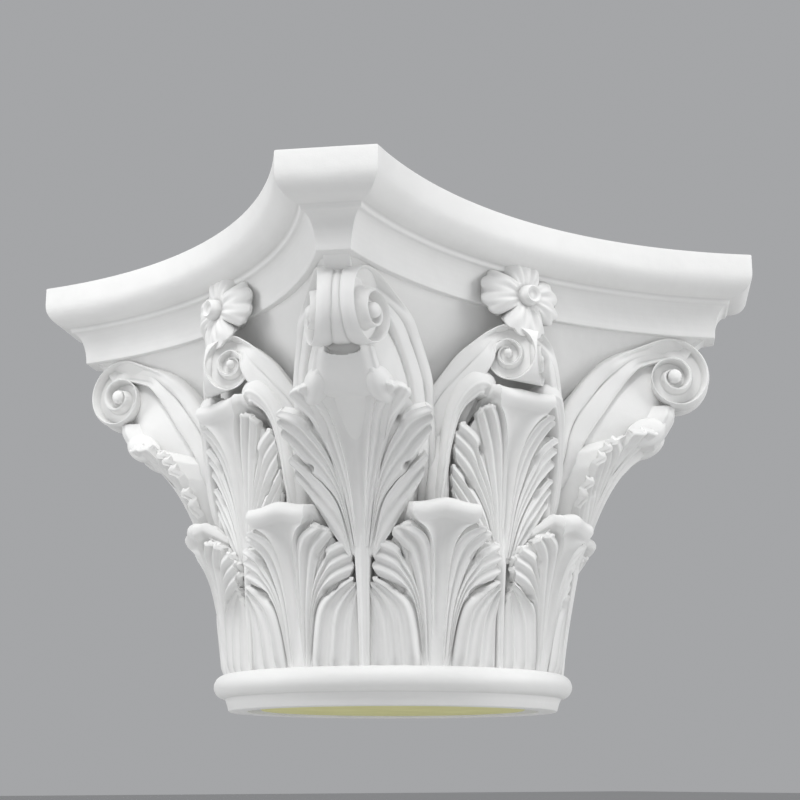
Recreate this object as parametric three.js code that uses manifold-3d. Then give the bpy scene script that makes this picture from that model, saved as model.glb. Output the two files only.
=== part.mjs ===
// A cast Corinthian column capital. Millimetres, +Z up, origin at the centre of the underside.
// The four faces look along X and Y, and the four horns of the top slab lie on the diagonals.
import * as THREE from 'three';
import { mergeVertices } from 'three/addons/utils/BufferGeometryUtils.js';
import Module from 'manifold-3d';

const wasm = await Module();
wasm.setup();

const QUARTER = Math.PI / 2;
const TURN = Math.PI * 2;

// Heights and widths that drive the whole capital
const HEIGHT = 316;
const FACE_HALF_WIDTH_AT_MIDDLE = 162.5;
const CHAMFER_DISTANCE = 262;
const FACE_ARC_RADIUS = 320;
const SLAB_UNDERSIDE = 261;

// Neck ring and underside
const SEAT_RADIUS = 115;
const COVE_RADIUS = 118;
const RING_RADIUS = 125.8;
const RING_BOTTOM = 8.7;
const RING_TOP = 24.6;
const GROOVE_OUTER_RADIUS = 102;
const GROOVE_INNER_RADIUS = 93;
const GROOVE_DEPTH = 4;
const FOAM_FACE_RISE = 1.2;
const RING_SEGMENTS = 32;
const RING_STEPS = 4;

// Bell
const BELL_RADIUS = 111;
const BELL_FLARE_START = 150;
const BELL_FLARE_POWER = 1.9;
const BELL_LEVELS = 4;
const BELL_ARC_STEPS = 5;
const PANEL_INSET = 30;
const BELL_OVERLAP = 3;

// Slab mouldings: inset from the slab's outline, and height
const FASCIA_BOTTOM = 302.5;
const OVOLO_BOTTOM = 287;
const OVOLO_INSET = 16;
const STEP_BOTTOM = 284;
const CAVETTO_TOP_INSET = 17;
const CAVETTO_BOTTOM_INSET = 27;
const MOULDING_STEPS = 3;
const FACE_ARC_STEPS = 8;

// Leaves: guide curves are [radius, height] control points, from the root to the tip
const LOWER_LEAF_ROOT = 20;
const UPPER_LEAF_ROOT = 92;
const LOBES = 3;
const LEAF_ROWS = 3;
const KEEL_SPREAD = 0.6;

// The furrow between two lobes: how far along the lobes it runs, and its depth and the height of
// the lower fingers as shares of a leaf's relief
const FURROW_REACH = 0.78;
const FURROW_DEPTH = 1.2;
const LOW_FINGER_REACH = 0.95;
const LOW_FINGER_RISE = 0.2;

const LOWER_LEAF = {
  front: [[116, LOWER_LEAF_ROOT], [122, 66], [128, 104], [149, 116]],
  side: [[116, LOWER_LEAF_ROOT], [117, 50], [119, 80], [124, 108]],
  keel: [[98, LOWER_LEAF_ROOT], [98, 60], [100, 85], [106, 104]],
  halfWidth: 44.5,
  rootHalfWidth: 40,
  tipHalfWidth: 24,
  channelRoot: 5,
  widestAt: 0.7,
  lowestLobe: 0.45,
  lowestWidth: 0.96,
  spread: 1.6,
  relief: 2.6,
  channelDepth: 3,
  lip: 9,
};
const CORNER_LEAF = {
  front: [[130, UPPER_LEAF_ROOT], [143, 135], [160, 181], [199, 192]],
  side: [[120, UPPER_LEAF_ROOT], [128, 125], [148, 160], [170, 186]],
  keel: [[104, UPPER_LEAF_ROOT], [106, 120], [120, 160], [150, 186]],
  halfWidth: 49,
  rootHalfWidth: 9,
  tipHalfWidth: 22,
  channelRoot: 5,
  widestAt: 0.85,
  lowestLobe: 0.5,
  lowestWidth: 0.82,
  spread: 2,
  relief: 3,
  channelDepth: 4,
  lip: 11,
};
const FACE_LEAF = {
  front: [[122, UPPER_LEAF_ROOT], [126, 130], [130, 176], [149, 193]],
  side: [[118, UPPER_LEAF_ROOT], [121, 130], [127, 165], [136, 189]],
  keel: [[104, UPPER_LEAF_ROOT], [104, 120], [104, 150], [108, 182]],
  halfWidth: 44,
  rootHalfWidth: 9,
  tipHalfWidth: 25,
  channelRoot: 5,
  widestAt: 0.8,
  lowestLobe: 0.5,
  lowestWidth: 0.82,
  spread: 2,
  relief: 3,
  channelDepth: 4,
  lip: 9,
};

// Stems of the upper leaves, seen between the lower leaves
const STEM_FOOT_HALF_WIDTH = 2.5;
const STEM_TOP_HALF_WIDTH = 8;
const STEM_CREST = 2.5;
const STEM_BACK_RADIUS = 104;
const STEM_FOOT_RADIUS = 116;
const STEM_RUNS_UP_LEAF = 8;

// Scrolls: two mirrored plates that run back from a narrow front, with distances along the
// plate and heights for the edges of the band that rises into the scroll
const CORNER_SCROLL = {
  front: 233,
  frontHalfWidth: 11.6,
  splay: THREE.MathUtils.degToRad(17.2),
  centre: [28.8, 229.5],
  radius: 29,
  shrink: 0.476,
  turns: 2,
  stepsPerTurn: 10,
  bandSteps: 5,
  outer: [[64, 258.5], [92, 198], [124, 112]],
  inner: [[53, 243], [76, 192], [118, 112]],
  channelDepth: 4,
};
const FACE_SCROLL = {
  front: 158.5,
  frontHalfWidth: 0.8,
  splay: THREE.MathUtils.degToRad(50),
  centre: [17.4, 227],
  radius: 19.5,
  shrink: 0.446,
  turns: 1.75,
  stepsPerTurn: 8,
  bandSteps: 4,
  outer: [[40, 248], [64, 215], [63, 108]],
  inner: [[30, 236], [46, 205], [56, 108]],
  channelDepth: 3,
};

// Solid core behind a corner scroll's bands: [reach, half width, height]
const CORE_INNER_RADIUS = 95;
const CORE_LEVELS = [[108, 18, 118], [157, 26, 190], [184, 20, 214], [196, 16, 240], [215, 11, 264]];

// Pad between a corner leaf's tip and the scroll above it: [radius, half width, height]
const PAD_TOP = [210, 13, 212];
const PAD_WAIST = [203, 17, 201];
const PAD_FOOT = [190, 27, 190];
const PAD_BACK_RADIUS = 165;
const PAD_CORNER_CUT = 3;

// Flower on the middle of each face
const FLOWER_HEIGHT = 268;
const FLOWER_RADIUS = 160;
const FLOWER_BACK_RADIUS = 132;
const PETALS = 4;
const STEPS_PER_PETAL = 4;
const PETAL_LENGTH = 30;
const PETAL_GAP = 0.6;
const PETAL_CUP = 5;
const BUTTON_RADIUS = 7;
const BUTTON_RISE = 6;
const BUTTON_DIMPLE = 2;
const BUTTON_FOOT_RADIUS = 8;
const STALK_RADIUS = 13;

const lerp = THREE.MathUtils.lerp;
const smooth = (value, from, to) => THREE.MathUtils.smoothstep(value, from, to);

// A point at a radius, an angle from +X and a height
function around(radius, angle, height) {
  return new THREE.Vector3(radius * Math.cos(angle), radius * Math.sin(angle), height);
}

// A point given by its distance out along an angle, its distance to the side and its height
function beside(out, side, angle, height) {
  const cos = Math.cos(angle);
  const sin = Math.sin(angle);
  return new THREE.Vector3(out * cos - side * sin, out * sin + side * cos, height);
}

// A point and the direction of travel on a cubic Bezier curve of [x, y] control points
function bezier(control, t) {
  const curve = new THREE.CubicBezierCurve(...control.map(([x, y]) => new THREE.Vector2(x, y)));
  return { point: curve.getPoint(t), tangent: curve.getTangent(t) };
}

function solidFromTriangles(points) {
  const geometry = new THREE.BufferGeometry().setFromPoints(points);
  return solidFromGeometry(geometry);
}

// Joins equal corners, drops empty triangles and turns the faces outwards
function solidFromGeometry(geometry) {
  geometry.deleteAttribute('normal');
  geometry.deleteAttribute('uv');
  const merged = mergeVertices(geometry, 1e-4);
  const vertices = merged.attributes.position.array;
  const index = merged.index.array;
  const kept = [];
  let volume = 0;
  for (let i = 0; i < index.length; i += 3) {
    const [a, b, c] = [index[i], index[i + 1], index[i + 2]];
    if (a === b || b === c || a === c) continue;
    kept.push(a, b, c);
    const [u, v, w] = [a, b, c].map((k) => new THREE.Vector3().fromArray(vertices, 3 * k));
    volume += u.dot(v.cross(w));
  }
  if (volume < 0) kept.reverse();
  const mesh = new wasm.Mesh({
    numProp: 3,
    vertProperties: new Float32Array(vertices),
    triVerts: new Uint32Array(kept),
  });
  return new wasm.Manifold(mesh);
}

function addQuad(points, a, b, c, d) {
  points.push(a, b, c, a, c, d);
}

function addGrid(points, grid) {
  for (let i = 0; i + 1 < grid.length; i += 1) {
    for (let j = 0; j + 1 < grid[i].length; j += 1) {
      addQuad(points, grid[i][j], grid[i][j + 1], grid[i + 1][j + 1], grid[i + 1][j]);
    }
  }
}

function border(grid) {
  const last = grid.length - 1;
  const right = grid[0].length - 1;
  const bottom = grid[0].slice(0, right);
  const rightSide = grid.slice(0, last).map((row) => row[right]);
  const top = grid[last].slice(1).reverse();
  const leftSide = grid.slice(1).map((row) => row[0]).reverse();
  return [...bottom, ...rightSide, ...top, ...leftSide];
}

// A closed solid between two grids of points, walled round their borders
function slabBetween(front, back) {
  const points = [];
  addGrid(points, front);
  addGrid(points, back.map((row) => [...row].reverse()));
  const outer = border(front);
  const inner = border(back);
  outer.forEach((point, i) => {
    const next = (i + 1) % outer.length;
    addQuad(points, point, inner[i], inner[next], outer[next]);
  });
  return solidFromTriangles(points);
}

// A closed solid through rings of points, capped flat at both ends
function loft(rings) {
  const points = [];
  for (let i = 0; i + 1 < rings.length; i += 1) {
    rings[i].forEach((point, j) => {
      const next = (j + 1) % rings[i].length;
      addQuad(points, point, rings[i][next], rings[i + 1][next], rings[i + 1][j]);
    });
  }
  const capCentre = (ring) => ring.reduce((sum, p) => sum.add(p), new THREE.Vector3())
    .divideScalar(ring.length);
  const first = rings[0];
  const last = rings[rings.length - 1];
  const firstCentre = capCentre(first);
  const lastCentre = capCentre(last);
  first.forEach((point, j) => {
    const next = (j + 1) % first.length;
    points.push(firstCentre, first[next], point);
    points.push(lastCentre, last[j], last[next]);
  });
  return solidFromTriangles(points);
}

// Outline of the slab at an inset: a hollow arc on each face and a short flat on each horn
function slabOutline(inset, arcSteps) {
  const arcCentre = FACE_HALF_WIDTH_AT_MIDDLE + FACE_ARC_RADIUS;
  const radius = FACE_ARC_RADIUS + inset;
  const gap = arcCentre - Math.SQRT2 * (CHAMFER_DISTANCE - inset);
  const reach = (Math.sqrt(2 * radius * radius - gap * gap) - gap) / 2;
  const halfAngle = Math.asin(reach / radius);
  const outline = [];
  for (let face = 0; face < 4; face += 1) {
    for (let i = 0; i <= arcSteps; i += 1) {
      const swing = lerp(-halfAngle, halfAngle, i / arcSteps);
      const out = arcCentre - radius * Math.cos(swing);
      outline.push(beside(out, radius * Math.sin(swing), face * QUARTER, 0));
    }
  }
  return outline;
}

function slab() {
  const profile = [[0, HEIGHT], [0, FASCIA_BOTTOM]];
  for (let i = 1; i <= MOULDING_STEPS; i += 1) {
    const swing = (QUARTER * i) / MOULDING_STEPS;
    const drop = (FASCIA_BOTTOM - OVOLO_BOTTOM) * Math.sin(swing);
    profile.push([OVOLO_INSET * (1 - Math.cos(swing)), FASCIA_BOTTOM - drop]);
  }
  for (let i = 0; i <= MOULDING_STEPS; i += 1) {
    const swing = (QUARTER * i) / MOULDING_STEPS;
    const inset = lerp(CAVETTO_TOP_INSET, CAVETTO_BOTTOM_INSET, Math.sin(swing));
    profile.push([inset, lerp(STEP_BOTTOM, SLAB_UNDERSIDE, 1 - Math.cos(swing))]);
  }
  const rings = profile.map(([inset, height]) => (
    slabOutline(inset, FACE_ARC_STEPS).map((point) => point.setZ(height))
  ));
  return loft(rings);
}

function bell() {
  const plan = slabOutline(PANEL_INSET, BELL_ARC_STEPS);
  const top = SLAB_UNDERSIDE + BELL_OVERLAP;
  const rings = [];
  for (let level = -1; level <= BELL_LEVELS; level += 1) {
    const share = Math.max(level, 0) / BELL_LEVELS;
    const height = level < 0 ? LOWER_LEAF_ROOT : lerp(BELL_FLARE_START, top, share);
    const weight = share ** BELL_FLARE_POWER;
    rings.push(plan.map((point) => {
      const radius = lerp(BELL_RADIUS, Math.hypot(point.x, point.y), weight);
      return around(radius, Math.atan2(point.y, point.x), height);
    }));
  }
  return loft(rings);
}

function neckRing() {
  const torusCentre = (RING_BOTTOM + RING_TOP) / 2;
  const torusHeight = (RING_TOP - RING_BOTTOM) / 2;
  const profile = [
    [0, FOAM_FACE_RISE],
    [GROOVE_INNER_RADIUS, FOAM_FACE_RISE],
    [GROOVE_INNER_RADIUS, GROOVE_DEPTH],
    [GROOVE_OUTER_RADIUS, GROOVE_DEPTH],
    [GROOVE_OUTER_RADIUS, 0],
    [SEAT_RADIUS, 0],
    [COVE_RADIUS, RING_BOTTOM],
  ];
  for (let i = 1; i < RING_STEPS; i += 1) {
    const swing = -QUARTER + (Math.PI * i) / RING_STEPS;
    const radius = COVE_RADIUS + (RING_RADIUS - COVE_RADIUS) * Math.cos(swing);
    profile.push([radius, torusCentre + torusHeight * Math.sin(swing)]);
  }
  profile.push([COVE_RADIUS, RING_TOP], [0, RING_TOP]);
  const outline = profile.map(([radius, height]) => new THREE.Vector2(radius, height));
  const geometry = new THREE.LatheGeometry(outline, RING_SEGMENTS);
  geometry.rotateX(QUARTER);
  return solidFromGeometry(geometry);
}

// Half width of a leaf's outline at a share of its length
function outlineHalfWidth(kind, share) {
  if (share < kind.widestAt) {
    const low = (kind.widestAt - share) / (kind.widestAt - kind.lowestLobe);
    return kind.halfWidth * lerp(1, kind.lowestWidth, low);
  }
  const high = (share - kind.widestAt) / (1 - kind.widestAt);
  return lerp(kind.halfWidth, kind.tipHalfWidth, high * high);
}

// The veins on one side of a leaf, from the middle channel outwards: ridges along the fingers,
// furrows between them, and a deep eye between two lobes
function veins() {
  const list = [];
  for (let lobe = 0; lobe < LOBES; lobe += 1) {
    if (lobe > 0) list.push({ reach: FURROW_REACH, rise: -FURROW_DEPTH });
    list.push({ reach: 1, rise: 1 });
    list.push({ reach: LOW_FINGER_REACH, rise: LOW_FINGER_RISE });
  }
  return list;
}

// Carries a flat leaf point (to the side, share of length, rise) onto the leaf's curved form
function onLeaf(kind, angle, side, share, rise) {
  const away = Math.min(Math.abs(side) / kind.halfWidth, 1) ** 1.5;
  const middle = bezier(kind.front, share);
  const edge = bezier(kind.side, share);
  const point = middle.point.lerp(edge.point, away);
  const tangent = middle.tangent.lerp(edge.tangent, away).normalize();
  const radius = point.x + rise * tangent.y;
  const height = point.y - rise * tangent.x;
  return around(radius, angle + side / point.x, height);
}

// A leaf's front with its rolled lip, closed by a keel inside the bell
function leaf(kind, angle) {
  const columns = [-1, 0, 1].map((across) => ({ across }));
  const sideVeins = veins();
  sideVeins.forEach((vein, i) => {
    const fall = (i + 1) / sideVeins.length;
    columns.push({ ...vein, fall, sign: 1 });
    columns.unshift({ ...vein, fall, sign: -1 });
  });
  const flat = (column, travel) => {
    if (column.fall === undefined) {
      const throat = kind.channelRoot * (1 + 0.8 * travel);
      const mouth = lerp(throat, kind.tipHalfWidth, travel ** 5);
      const rise = column.across ? kind.relief : -kind.channelDepth * travel;
      return [column.across * mouth, travel, rise, kind.lip];
    }
    const along = travel * column.reach;
    const end = lerp(1, kind.lowestLobe, column.fall);
    const root = lerp(kind.channelRoot, kind.rootHalfWidth, column.fall);
    const wide = outlineHalfWidth(kind, end);
    const side = column.sign * (root + (wide - root) * along ** kind.spread);
    const rise = kind.relief * column.rise * smooth(along, 0.1, 0.6);
    return [side, end * along, rise, 0];
  };
  const front = [];
  const back = [];
  for (let row = 0; row <= LEAF_ROWS; row += 1) {
    const travel = (row / LEAF_ROWS) ** 0.75;
    const keel = bezier(kind.keel, travel).point;
    front.push(columns.map((column) => {
      const [side, share, rise] = flat(column, travel);
      return onLeaf(kind, angle, side, share, rise);
    }));
    const [outermost] = flat(columns[columns.length - 1], travel);
    back.push(columns.map((column) => {
      const side = KEEL_SPREAD * outermost * (column.sign ?? 0);
      return around(keel.x, angle + side / keel.x, keel.y);
    }));
  }
  front.push(columns.map((column) => {
    const [side, share, rise, thickness] = flat(column, 1);
    return onLeaf(kind, angle, side, share, rise - thickness);
  }));
  back.push(back[back.length - 1]);
  return slabBetween(front, back);
}

function stem(kind, angle) {
  const [top] = kind.front;
  const levels = [
    [STEM_FOOT_RADIUS, LOWER_LEAF_ROOT, STEM_FOOT_HALF_WIDTH],
    [top[0], top[1] + STEM_RUNS_UP_LEAF, STEM_TOP_HALF_WIDTH],
  ];
  return loft(levels.map(([radius, height, halfWidth]) => [
    beside(STEM_BACK_RADIUS, -halfWidth, angle, height),
    beside(radius, -halfWidth, angle, height),
    beside(radius + STEM_CREST, 0, angle, height),
    beside(radius, halfWidth, angle, height),
    beside(STEM_BACK_RADIUS, halfWidth, angle, height),
  ]));
}

// Two mirrored plates with a spiral channel, and the band between their outer edges
function scroll(kind, angle) {
  const { centre, radius, shrink, turns, stepsPerTurn, bandSteps } = kind;
  const lastStep = Math.round(turns * stepsPerTurn);
  const spiral = (step) => {
    const full = radius * shrink ** (step / stepsPerTurn);
    const fadeFrom = lastStep - stepsPerTurn;
    return step <= fadeFrom ? full : full * Math.max(0, (lastStep - step) / stepsPerTurn);
  };
  const onSpiral = (step) => {
    const swing = (TURN * step) / stepsPerTurn;
    const reach = spiral(step);
    return new THREE.Vector2(centre[0] - reach * Math.sin(swing), centre[1] + reach * Math.cos(swing));
  };
  const outerBand = [onSpiral(0).toArray(), ...kind.outer];
  const innerBand = [onSpiral(stepsPerTurn).toArray(), ...kind.inner];
  const edges = (step) => {
    if (step >= 0) return [onSpiral(step), onSpiral(step + stepsPerTurn)];
    const share = -step / bandSteps;
    return [bezier(outerBand, share).point, bezier(innerBand, share).point];
  };
  const place = (flat, rise, side) => {
    const out = kind.front - flat.x * Math.cos(kind.splay) + rise * Math.sin(kind.splay);
    const lateral = kind.frontHalfWidth + flat.x * Math.sin(kind.splay) + rise * Math.cos(kind.splay);
    return beside(out, side * lateral, angle, flat.y);
  };
  const points = [];
  const addSides = (a, b) => {
    addQuad(points, place(a, 0, 1), place(a, 0, -1), place(b, 0, -1), place(b, 0, 1));
  };
  const middle = (pair) => pair[0].clone().lerp(pair[1], 0.5);
  const depth = (step) => kind.channelDepth * Math.min(1, (lastStep - step) / stepsPerTurn);
  for (let step = -bandSteps; step < lastStep; step += 1) {
    const near = edges(step);
    const far = edges(step + 1);
    for (const side of [1, -1]) {
      const rows = [near, far].map((pair, i) => [
        place(pair[0], 0, side),
        place(middle(pair), -depth(step + i), side),
        place(pair[1], 0, side),
      ]);
      if (side > 0) rows.reverse();
      addGrid(points, rows);
    }
    if (step < stepsPerTurn) addSides(near[0], far[0]);
    if (step < 0) addSides(far[1], near[1]);
  }
  const root = edges(-bandSteps);
  const rootMiddle = middle(root);
  const sides = [1, -1].map((side) => [
    place(root[0], 0, side),
    place(rootMiddle, -kind.channelDepth, side),
    place(root[1], 0, side),
  ]);
  addGrid(points, sides);
  return solidFromTriangles(points);
}

function hornCore(angle) {
  return loft(CORE_LEVELS.map(([reach, halfWidth, height]) => [
    beside(CORE_INNER_RADIUS, -halfWidth, angle, height),
    beside(reach, -halfWidth, angle, height),
    beside(reach, halfWidth, angle, height),
    beside(CORE_INNER_RADIUS, halfWidth, angle, height),
  ]));
}

function pad(angle) {
  return loft([PAD_FOOT, PAD_WAIST, PAD_TOP].map(([radius, halfWidth, height]) => [
    beside(PAD_BACK_RADIUS, -halfWidth, angle, height),
    beside(radius - PAD_CORNER_CUT, -halfWidth, angle, height),
    beside(radius, -halfWidth / 2, angle, height),
    beside(radius, halfWidth / 2, angle, height),
    beside(radius - PAD_CORNER_CUT, halfWidth, angle, height),
    beside(PAD_BACK_RADIUS, halfWidth, angle, height),
  ]));
}

// A flower of notched petals round a button, on a stalk that runs back into the slab
function flower(angle) {
  const steps = PETALS * STEPS_PER_PETAL;
  const outline = (turn) => {
    const inPetal = (turn * PETALS) % 1;
    return PETAL_LENGTH * lerp(PETAL_GAP, 1, Math.sin(Math.PI * inPetal) ** 0.5);
  };
  const ring = (out, radiusAt) => {
    const points = [];
    for (let i = 0; i < steps; i += 1) {
      const turn = i / steps;
      const radius = radiusAt(turn);
      const swing = TURN * turn + Math.PI / PETALS;
      const height = FLOWER_HEIGHT + radius * Math.sin(swing);
      points.push(beside(out, radius * Math.cos(swing), angle, height));
    }
    return points;
  };
  const dish = FLOWER_RADIUS;
  return loft([
    ring(dish + BUTTON_RISE - BUTTON_DIMPLE, () => BUTTON_RADIUS * 0.5),
    ring(dish + BUTTON_RISE, () => BUTTON_RADIUS),
    ring(dish, () => BUTTON_FOOT_RADIUS),
    ring(dish + PETAL_CUP, (turn) => 0.7 * outline(turn)),
    ring(dish + PETAL_CUP * 0.4, outline),
    ring(FLOWER_BACK_RADIUS, () => STALK_RADIUS),
  ]);
}

function capitalSolid() {
  const solids = [slab(), bell(), neckRing()];
  for (let quarter = 0; quarter < 4; quarter += 1) {
    const face = quarter * QUARTER;
    const corner = face + QUARTER / 2;
    solids.push(leaf(FACE_LEAF, face), leaf(CORNER_LEAF, corner));
    solids.push(stem(FACE_LEAF, face), stem(CORNER_LEAF, corner));
    solids.push(leaf(LOWER_LEAF, face + QUARTER / 4), leaf(LOWER_LEAF, corner + QUARTER / 4));
    solids.push(scroll(FACE_SCROLL, face), scroll(CORNER_SCROLL, corner));
    solids.push(hornCore(corner), pad(corner));
    solids.push(flower(face));
  }
  return wasm.Manifold.union(solids);
}

function geometryOf(solid) {
  const mesh = solid.getMesh();
  const geometry = new THREE.BufferGeometry();
  geometry.setAttribute('position', new THREE.BufferAttribute(mesh.vertProperties, 3));
  geometry.setIndex(new THREE.BufferAttribute(mesh.triVerts, 1));
  geometry.computeVertexNormals();
  return geometry;
}

const primedFoam = new THREE.MeshStandardMaterial({ color: 0xe9e9e8, roughness: 0.75, metalness: 0 });

const capital = new THREE.Mesh(geometryOf(capitalSolid()), primedFoam);
capital.name = 'capital';

const part = new THREE.Group();
part.name = 'column_capital';
part.add(capital);

export default part;
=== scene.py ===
"""A cast Corinthian column capital in primed white foam, modelled in millimetres and shown in metres.

Each carved form is a fine grid of points, closed by walls that end inside the bell.
"""

import math

import bmesh
import bpy
import numpy as np
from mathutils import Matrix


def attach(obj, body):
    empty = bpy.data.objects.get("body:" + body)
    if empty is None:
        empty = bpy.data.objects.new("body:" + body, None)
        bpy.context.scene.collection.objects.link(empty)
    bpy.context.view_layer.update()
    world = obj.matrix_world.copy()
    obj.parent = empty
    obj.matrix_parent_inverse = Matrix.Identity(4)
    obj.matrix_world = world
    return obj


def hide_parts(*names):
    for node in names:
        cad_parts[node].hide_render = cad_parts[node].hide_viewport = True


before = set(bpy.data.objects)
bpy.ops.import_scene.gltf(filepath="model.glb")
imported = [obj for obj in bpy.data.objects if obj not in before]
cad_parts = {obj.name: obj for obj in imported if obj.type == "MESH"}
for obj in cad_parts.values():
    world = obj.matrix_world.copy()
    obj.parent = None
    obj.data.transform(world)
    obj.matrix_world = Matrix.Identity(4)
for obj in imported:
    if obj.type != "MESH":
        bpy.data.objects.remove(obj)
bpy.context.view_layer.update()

MM = 0.001
TURN = 2 * math.pi
QUARTER = math.pi / 2

# Slab and bell, as in the solid model
HEIGHT = 316
FACE_HALF_WIDTH_AT_MIDDLE = 162.5
CHAMFER_DISTANCE = 262
FACE_ARC_RADIUS = 320
SLAB_UNDERSIDE = 261
FASCIA_BOTTOM = 302.5
OVOLO_BOTTOM = 287
OVOLO_INSET = 16
STEP_BOTTOM = 284
CAVETTO_TOP_INSET = 17
CAVETTO_BOTTOM_INSET = 27
PANEL_INSET = 30
EDGE_SOFTENING = 1.2
SLAB_ARC_STEPS = 56
BELL_RADIUS = 111
BELL_FLARE_START = 150
BELL_FLARE_POWER = 1.9
BELL_TOP = 263.5
BELL_SIDES = 240
BELL_DRUM_ROWS = 5
BELL_FLARE_ROWS = 28

# Neck ring
SEAT_RADIUS = 115
COVE_RADIUS = 118
RING_RADIUS = 125.8
RING_BOTTOM = 8.7
RING_TOP = 24.6
GROOVE_OUTER_RADIUS = 102
GROOVE_INNER_RADIUS = 93
GROOVE_DEPTH = 4
FOAM_FACE_RISE = 1.2
RING_SIDES = 160
RING_SOFTENING = 0.8

LOWER_LEAF_ROOT = 20
UPPER_LEAF_ROOT = 92

# Leaves. A place on a flattened leaf is [distance from its middle line, share of its length].
# front, side and keel are guide curves of [radius, height]: along the middle, along the margin, and
# inside the bell, where the walls end. The channel and lip values shape the hollow middle and its
# rolled lip, which stands out to reach, less dip at its middle, with knobs at its corners or none.
# blade is the body as [share of the length, half width], eyes are the places of drilled holes, and
# each lobe lies between a top and a bottom edge.
LOWER_LEAF = {
    "front": [[116, LOWER_LEAF_ROOT], [122, 66], [128, 104], [149, 116]],
    "side": [[116, LOWER_LEAF_ROOT], [117, 50], [119, 80], [124, 108]],
    "keel": [[98, LOWER_LEAF_ROOT], [98, 60], [100, 85], [106, 104]],
    "length": 105,
    "half_width": 44.5,
    "tip_half_width": 23.5,
    "channel_root": 3.3,
    "channel_flare": 6,
    "channel_depth": 7,
    "corner_lift": 1.2,
    "lip": 12.2,
    "lip_bead": 4.2,
    "knobs": 0,
    "reach": 1.065,
    "dip": 0.09,
    "blade": [[0, 41], [0.3, 41], [0.5, 40], [0.66, 37], [0.85, 33], [0.95, 28], [1, 20]],
    "eyes": [[22.5, 0.705], [28, 0.505], [23, 0.46]],
    "lobes": [
        {"top": [[3, 0], [4, 0.35], [6.3, 0.62], [12, 0.82], [23.5, 0.995]],
         "bottom": [[7, 0], [10.5, 0.3], [16, 0.52], [22, 0.715], [27.5, 0.83], [33, 0.94]],
         "fingers": 2, "bulge": 2, "root_relief": 0.4, "crest": 0},
        {"top": [[7, 0.02], [11, 0.33], [17, 0.525], [24.5, 0.69], [28.5, 0.81], [38, 0.93]],
         "bottom": [[8, 0.02], [12, 0.22], [16.5, 0.37], [25, 0.49], [40, 0.66]],
         "fingers": 3, "bulge": 4, "root_relief": 0.2, "crest": 1},
        {"top": [[9.5, 0], [13, 0.21], [17.5, 0.36], [26, 0.475], [40, 0.645]],
         "bottom": [[42.5, 0], [42.8, 0.15], [43, 0.3], [43.2, 0.42], [43.4, 0.54]],
         "fingers": 3, "bulge": 1, "root_relief": 1, "crest": 1},
    ],
}
CORNER_LEAF = {
    "front": [[130, UPPER_LEAF_ROOT], [143, 135], [160, 181], [199, 192]],
    "side": [[120, UPPER_LEAF_ROOT], [128, 125], [148, 160], [170, 186]],
    "keel": [[104, UPPER_LEAF_ROOT], [106, 120], [120, 160], [150, 186]],
    "length": 125,
    "half_width": 49,
    "tip_half_width": 21,
    "channel_root": 2.5,
    "channel_flare": 2.2,
    "channel_depth": 9,
    "corner_lift": 0,
    "lip": 10,
    "lip_bead": 0,
    "knobs": 1,
    "reach": 1.01,
    "dip": 0.01,
    "blade": [[0, 5], [0.08, 13], [0.2, 24], [0.35, 33], [0.5, 37], [0.7, 42], [0.85, 42], [0.94, 35],
              [1, 22]],
    "eyes": [[27.3, 0.735], [31, 0.497]],
    "lobes": [
        {"top": [[2, 0.05], [4, 0.3], [8, 0.55], [13, 0.78], [24, 1.02]],
         "bottom": [[4.5, 0.05], [10.5, 0.33], [19, 0.565], [26, 0.75], [33, 0.875], [39, 1]],
         "fingers": 2, "bulge": 2, "root_relief": 0.15, "crest": 0},
        {"top": [[5, 0.05], [11, 0.33], [20, 0.555], [28.8, 0.72], [34.5, 0.84], [47.5, 0.96]],
         "bottom": [[6, 0.05], [13.5, 0.26], [23, 0.385], [33, 0.5], [46, 0.74]],
         "fingers": 3, "bulge": 4, "root_relief": 0.15, "crest": 1},
        {"top": [[7, 0.02], [14, 0.245], [23, 0.378], [33, 0.49], [44, 0.64]],
         "bottom": [[8, 0], [12.5, 0.05], [20, 0.14], [28, 0.26], [38, 0.42]],
         "fingers": 2, "bulge": 3, "root_relief": 0.15, "crest": 1},
    ],
}
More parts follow.
